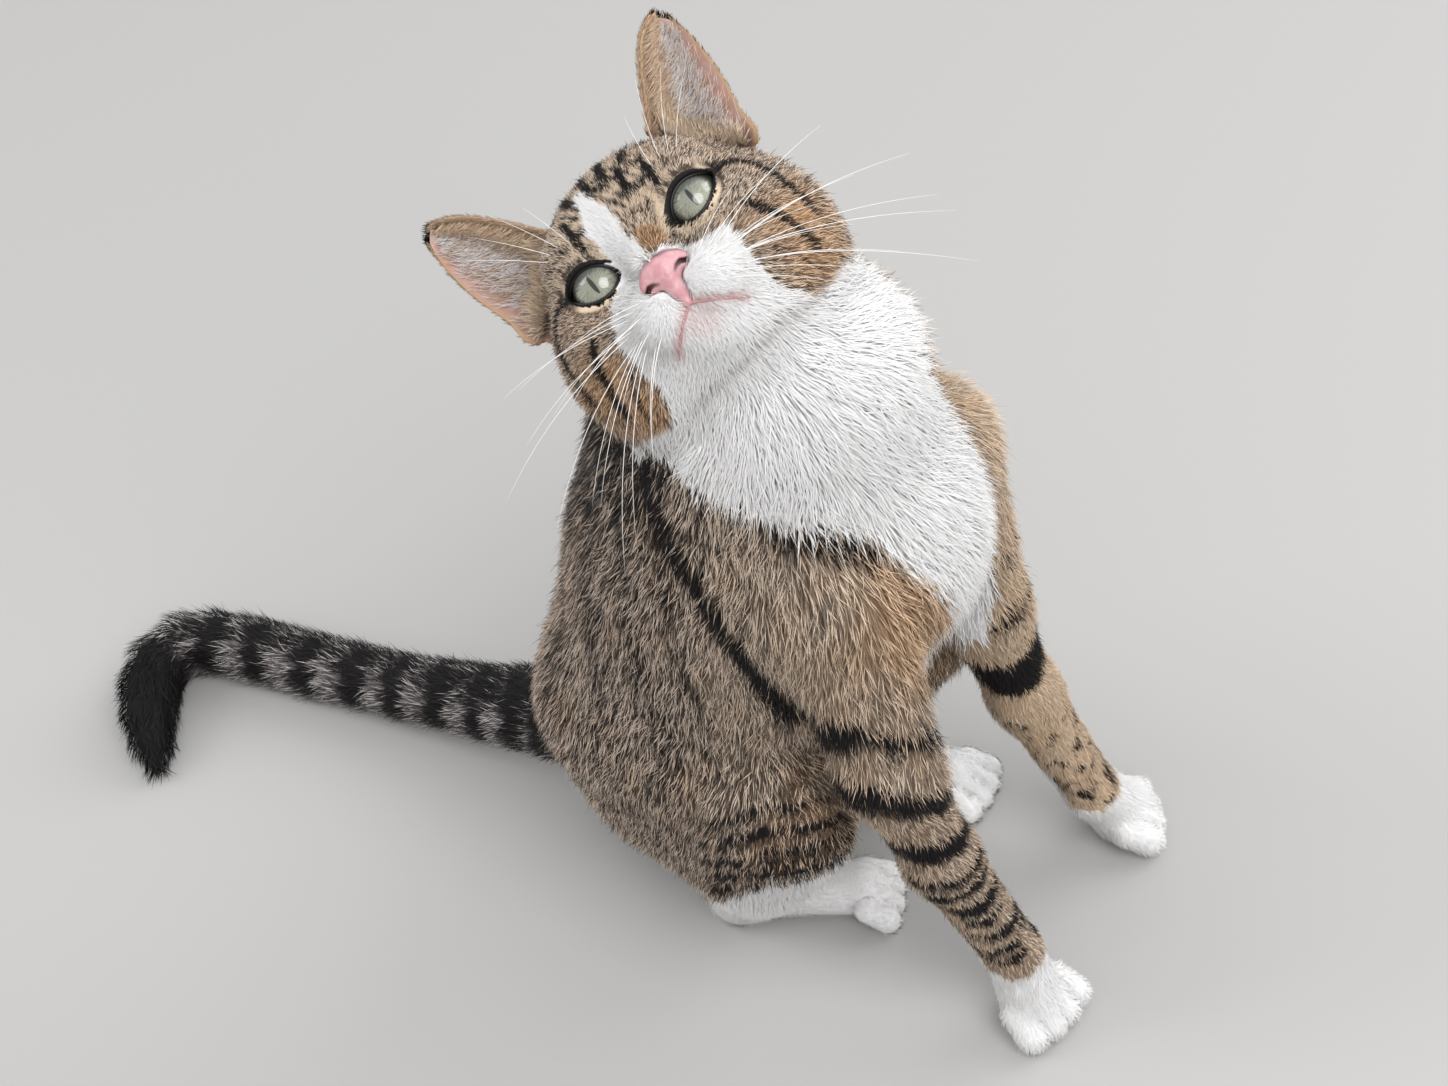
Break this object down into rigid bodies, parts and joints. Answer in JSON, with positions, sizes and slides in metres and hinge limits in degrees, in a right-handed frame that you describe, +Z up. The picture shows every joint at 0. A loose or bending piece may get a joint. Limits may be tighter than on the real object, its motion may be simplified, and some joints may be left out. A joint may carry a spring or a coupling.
{
  "type": "sitting tabby cat model",
  "caption": "Life-size still model of a short-haired brown tabby and white tomcat, sitting on its haunches with its head turned back and up and its tail laid behind it.",
  "frame": {"origin": "on the floor, under the middle of the cat's bounding box", "axes": "+Z up; the body faces -Y with the tail towards +Y; the cat's left side is towards +X"},
  "size_m": [0.1822, 0.5408, 0.4234],
  "materials": {
    "tabby_coat": "short ticked brown and black fur with dark stripes",
    "white_coat": "short to long soft white fur",
    "black_coat": "bushy black fur",
    "ear_skin": "thin pink skin under sparse pale hair",
    "nose_leather": "moist pink pebbled skin",
    "lid_rims": "moist black skin",
    "eyes": "wet clear cornea over a grey-green iris",
    "claws": "smooth translucent horn",
    "whiskers": "stiff white hair"
  },
  "bodies": {
    "root": {"trunk": "tabby_coat", "neck": "white_coat", "head": "tabby_coat", "nose": "nose_leather", "eye_left": "eyes", "ear_left": "ear_skin", "eye_right": "eyes", "ear_right": "ear_skin", "tail_base": "tabby_coat", "tail_middle": "tabby_coat", "tail_tip": "black_coat", "upper_arm_right": "tabby_coat", "forearm_right": "tabby_coat", "forepaw_right": "white_coat", "upper_arm_left": "tabby_coat", "forearm_left": "tabby_coat", "forepaw_left": "white_coat", "thigh_right": "tabby_coat", "shank_right": "tabby_coat", "hindfoot_right": "white_coat", "thigh_left": "tabby_coat", "shank_left": "tabby_coat", "hindfoot_left": "white_coat"}
  },
  "joints": []
}
